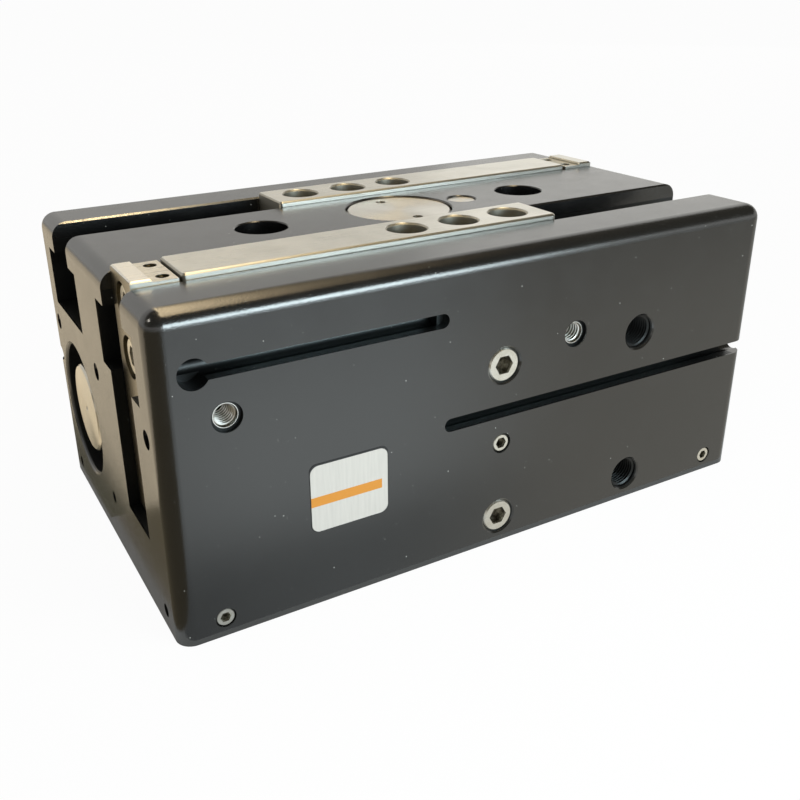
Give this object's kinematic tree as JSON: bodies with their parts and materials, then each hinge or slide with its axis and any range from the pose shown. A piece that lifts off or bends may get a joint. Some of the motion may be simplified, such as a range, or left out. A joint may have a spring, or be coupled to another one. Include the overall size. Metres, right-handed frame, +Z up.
{
  "type": "parallel gripper",
  "caption": "Pneumatic parallel gripper: black block with T-slots, in which steel jaws slide apart and together, driven by pistons and tied by a rack and pinion.",
  "frame": {"origin": "centre of the underside", "axes": "+X along the block, -Y out of the face with the air ports, +Z up to the jaw face"},
  "size_m": [0.19, 0.1111, 0.0886],
  "materials": {
    "black_anodised": "hard anodised black, satin",
    "black_aluminium": "anodised black",
    "machined_aluminium": "turned",
    "ground_steel": "ground",
    "turned_steel": "turned face",
    "screw_steel": "zinc plated",
    "insert_steel": "bright thread",
    "rod_steel": "hard chromed, polished",
    "spring_steel": "phosphated black",
    "gear_steel": "hobbed, oiled",
    "bronze": "sintered",
    "magnet": "sintered, dark",
    "seal_rubber": "moulded",
    "guide_plastic": "filled, matt",
    "label_foil": "silver-white foil, blank"
  },
  "bodies": {
    "block": {"housing": "black_anodised", "port_plugs": "screw_steel", "gallery_plugs": "screw_steel", "lower_pinion_bush": "bronze", "upper_pinion_bush": "bronze", "pinion_cover": "turned_steel", "top_plug": "turned_steel", "rating_label": "label_foil", "near_rod_gland": "machined_aluminium", "near_rod_bush": "bronze", "near_rod_seal": "seal_rubber", "near_gland_ring": "seal_rubber", "near_gland_screw": "screw_steel", "near_cylinder_cap": "black_aluminium", "near_cap_ring": "seal_rubber", "near_retaining_ring": "spring_steel", "near_end_stop": "turned_steel", "near_stop_buffer": "seal_rubber", "near_thread_inserts": "insert_steel", "far_rod_gland": "machined_aluminium", "far_rod_bush": "bronze", "far_rod_seal": "seal_rubber", "far_gland_ring": "seal_rubber", "far_gland_screw": "screw_steel", "far_cylinder_cap": "black_aluminium", "far_cap_ring": "seal_rubber", "far_retaining_ring": "spring_steel", "far_end_stop": "turned_steel", "far_stop_buffer": "seal_rubber", "far_thread_inserts": "insert_steel"},
    "near_jaw_set": {"near_jaw": "ground_steel", "near_drive_block": "ground_steel", "near_block_screws": "screw_steel", "near_piston_rod": "rod_steel", "near_piston": "machined_aluminium", "near_piston_seals": "seal_rubber", "near_guide_ring": "guide_plastic", "near_magnet_ring": "magnet", "near_piston_nut": "screw_steel"},
    "far_jaw_set": {"far_jaw": "ground_steel", "far_drive_block": "ground_steel", "far_block_screws": "screw_steel", "far_piston_rod": "rod_steel", "far_piston": "machined_aluminium", "far_piston_seals": "seal_rubber", "far_guide_ring": "guide_plastic", "far_magnet_ring": "magnet", "far_piston_nut": "screw_steel"},
    "pinion_wheel": {"pinion": "gear_steel"}
  },
  "joints": [
    {"name": "near_jaw_slide", "type": "slide", "parent": "block", "child": "near_jaw_set", "axis": [1, 0, 0], "range_m": [0, 0.06]},
    {"name": "far_jaw_slide", "type": "slide", "parent": "block", "child": "far_jaw_set", "axis": [-1, 0, 0], "range_m": [0, 0.06]},
    {"name": "pinion_spin", "type": "hinge", "parent": "block", "child": "pinion_wheel", "pos_m": [0, 0, 0.07], "axis": [0, 0, 1], "range_deg": [0, 264.5]}
  ],
  "couplings": [
    {"joint": "far_jaw_slide", "follows": "near_jaw_slide", "ratio": 1},
    {"joint": "pinion_spin", "follows": "near_jaw_slide", "rad_per_m": 76.923}
  ]
}
